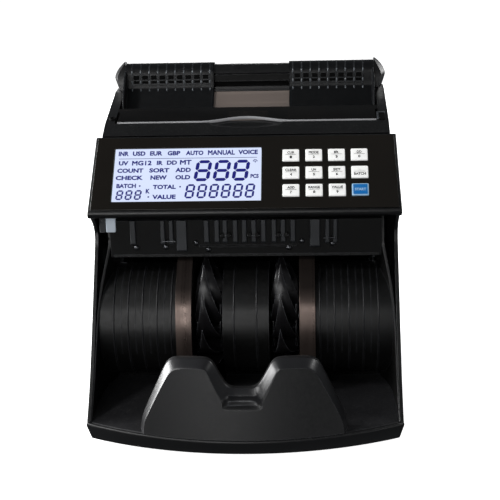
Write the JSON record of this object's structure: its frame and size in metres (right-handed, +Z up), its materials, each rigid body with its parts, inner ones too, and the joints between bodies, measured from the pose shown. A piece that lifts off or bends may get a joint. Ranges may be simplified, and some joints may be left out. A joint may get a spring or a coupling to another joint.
{
  "type": "desktop banknote counter",
  "caption": "Desktop note counting machine with a sloping hopper, sliding note guides, smoked hopper cover, control panel, and an open stacking bay with a two-humped stop.",
  "frame": {"origin": "centre of the footprint, on the surface the four feet stand on", "axes": "+Z up, front of the machine towards -Y, +X to the right of a person facing the front"},
  "size_m": [0.253, 0.261, 0.2716],
  "materials": {
    "shell_black": "fine satin grain",
    "liner_black": "satin moulded",
    "overlay_black": "gloss film",
    "stop_black": "satin moulded",
    "guide_black": "satin moulded",
    "smoked_acrylic": "clear smoked, polished",
    "dark_steel": "brushed",
    "zinc_steel": "zinc plated",
    "black_rubber": "matt",
    "key_white": "satin",
    "key_blue": "satin",
    "circuit_green": "solder mask",
    "lcd_backlit": "backlit display",
    "wheel_grey": "moulded, slightly flexible"
  },
  "bodies": {
    "housing": {"base_tray": "shell_black", "foot_front_left": "black_rubber", "foot_front_right": "black_rubber", "foot_rear_left": "black_rubber", "foot_rear_right": "black_rubber", "side_cover_left": "shell_black", "side_cover_right": "shell_black", "bay_liner": "liner_black", "outlet_strip_left": "dark_steel", "outlet_strip_right": "dark_steel", "outlet_wall": "liner_black", "sensor_bar": "circuit_green", "front_bezel": "shell_black", "panel_overlay": "overlay_black", "lcd_module": "lcd_backlit", "display_board": "circuit_green", "top_housing": "shell_black", "hopper_plate": "dark_steel", "hopper_rear_rail": "shell_black", "chassis_plate_left": "zinc_steel", "chassis_plate_right": "zinc_steel", "drive_motor": "zinc_steel", "feed_belt": "black_rubber", "stacker_belt": "black_rubber", "pickup_belt": "black_rubber", "main_circuit_board": "circuit_green", "rear_cover": "shell_black", "power_inlet": "liner_black"},
    "feed_rotor": {"feed_shaft": "zinc_steel", "feed_roller_left": "black_rubber", "feed_roller_right": "black_rubber", "feed_pulley": "wheel_grey"},
    "pickup_rotor": {"pickup_shaft": "zinc_steel", "pickup_roller_left": "black_rubber", "pickup_roller_right": "black_rubber"},
    "stacker_rotor": {"stacker_shaft": "zinc_steel", "stacker_wheel_left": "wheel_grey", "stacker_wheel_right": "wheel_grey", "stacker_pulley": "wheel_grey"},
    "motor_rotor": {"motor_pulley": "zinc_steel"},
    "separator": {"separator_roller": "black_rubber", "separator_bracket": "zinc_steel"},
    "gap_knob": {"gap_screw": "zinc_steel"},
    "cover": {"hopper_cover": "smoked_acrylic"},
    "guide_left": {"note_guide_left": "guide_black"},
    "guide_right": {"note_guide_right": "guide_black"},
    "stop": {"stacker_stop": "stop_black"},
    "rocker": {"power_rocker": "liner_black"},
    "button_1": {"key_1": "key_white"},
    "button_2": {"key_2": "key_white"},
    "button_3": {"key_3": "key_white"},
    "button_4": {"key_4": "key_white"},
    "button_5": {"key_5": "key_white"},
    "button_6": {"key_6": "key_white"},
    "button_7": {"key_7": "key_white"},
    "button_8": {"key_8": "key_white"},
    "button_9": {"key_9": "key_white"},
    "button_10": {"key_10": "key_white"},
    "button_11": {"key_11": "key_white"},
    "button_start": {"key_start": "key_blue"}
  },
  "joints": [
    {"name": "feed_spin", "type": "hinge", "parent": "housing", "child": "feed_rotor", "pos_m": [0, 0.0525, 0.165], "axis": [1, 0, 0], "continuous": true},
    {"name": "motor_spin", "type": "hinge", "parent": "housing", "child": "motor_rotor", "pos_m": [0, 0.0865, 0.062], "axis": [1, 0, 0], "continuous": true},
    {"name": "stacker_spin", "type": "hinge", "parent": "housing", "child": "stacker_rotor", "pos_m": [0, -0.0035, 0.07], "axis": [1, 0, 0], "continuous": true},
    {"name": "pickup_spin", "type": "hinge", "parent": "housing", "child": "pickup_rotor", "pos_m": [0, 0.0795, 0.202], "axis": [1, 0, 0], "continuous": true},
    {"name": "hopper_cover_hinge", "type": "hinge", "parent": "housing", "child": "cover", "pos_m": [0, 0.0615, 0.2363], "axis": [-1, 0, 0], "range_deg": [0, 100]},
    {"name": "guide_left_slide", "type": "slide", "parent": "housing", "child": "guide_left", "axis": [1, 0, 0], "range_m": [0, 0.033]},
    {"name": "guide_right_slide", "type": "slide", "parent": "housing", "child": "guide_right", "axis": [-1, 0, 0], "range_m": [0, 0.033]},
    {"name": "stop_lift", "type": "slide", "parent": "housing", "child": "stop", "axis": [0, 0, 1], "range_m": [0, 0.03]},
    {"name": "gap_screw_turn", "type": "hinge", "parent": "housing", "child": "gap_knob", "pos_m": [0, 0.0491, 0.22], "axis": [0, 0, 1], "range_deg": [-180, 360]},
    {"name": "separator_lift", "type": "slide", "parent": "housing", "child": "separator", "axis": [0, -0.7314, 0.682], "range_m": [-0.00025, 0.0005]},
    {"name": "power_rocker_tilt", "type": "hinge", "parent": "housing", "child": "rocker", "pos_m": [0.036, 0.1245, 0.04], "axis": [1, 0, 0], "range_deg": [0, 16]},
    {"name": "press_1", "type": "slide", "parent": "housing", "child": "button_1", "axis": [0, 0.6934, -0.7206], "range_m": [0, 0.0007]},
    {"name": "press_2", "type": "slide", "parent": "housing", "child": "button_2", "axis": [0, 0.6934, -0.7206], "range_m": [0, 0.0007]},
    {"name": "press_3", "type": "slide", "parent": "housing", "child": "button_3", "axis": [0, 0.6934, -0.7206], "range_m": [0, 0.0007]},
    {"name": "press_4", "type": "slide", "parent": "housing", "child": "button_4", "axis": [0, 0.6934, -0.7206], "range_m": [0, 0.0007]},
    {"name": "press_5", "type": "slide", "parent": "housing", "child": "button_5", "axis": [0, 0.6934, -0.7206], "range_m": [0, 0.0007]},
    {"name": "press_6", "type": "slide", "parent": "housing", "child": "button_6", "axis": [0, 0.6934, -0.7206], "range_m": [0, 0.0007]},
    {"name": "press_7", "type": "slide", "parent": "housing", "child": "button_7", "axis": [0, 0.6934, -0.7206], "range_m": [0, 0.0007]},
    {"name": "press_8", "type": "slide", "parent": "housing", "child": "button_8", "axis": [0, 0.6934, -0.7206], "range_m": [0, 0.0007]},
    {"name": "press_9", "type": "slide", "parent": "housing", "child": "button_9", "axis": [0, 0.6934, -0.7206], "range_m": [0, 0.0007]},
    {"name": "press_10", "type": "slide", "parent": "housing", "child": "button_10", "axis": [0, 0.6934, -0.7206], "range_m": [0, 0.0007]},
    {"name": "press_11", "type": "slide", "parent": "housing", "child": "button_11", "axis": [0, 0.6934, -0.7206], "range_m": [0, 0.0007]},
    {"name": "press_start", "type": "slide", "parent": "housing", "child": "button_start", "axis": [0, 0.6934, -0.7206], "range_m": [0, 0.0007]}
  ],
  "couplings": [
    {"joint": "motor_spin", "follows": "feed_spin", "ratio": 1.75},
    {"joint": "stacker_spin", "follows": "feed_spin", "ratio": 0.875},
    {"joint": "pickup_spin", "follows": "feed_spin", "ratio": 1},
    {"joint": "gap_screw_turn", "follows": "separator_lift", "rad_per_m": 12566}
  ]
}
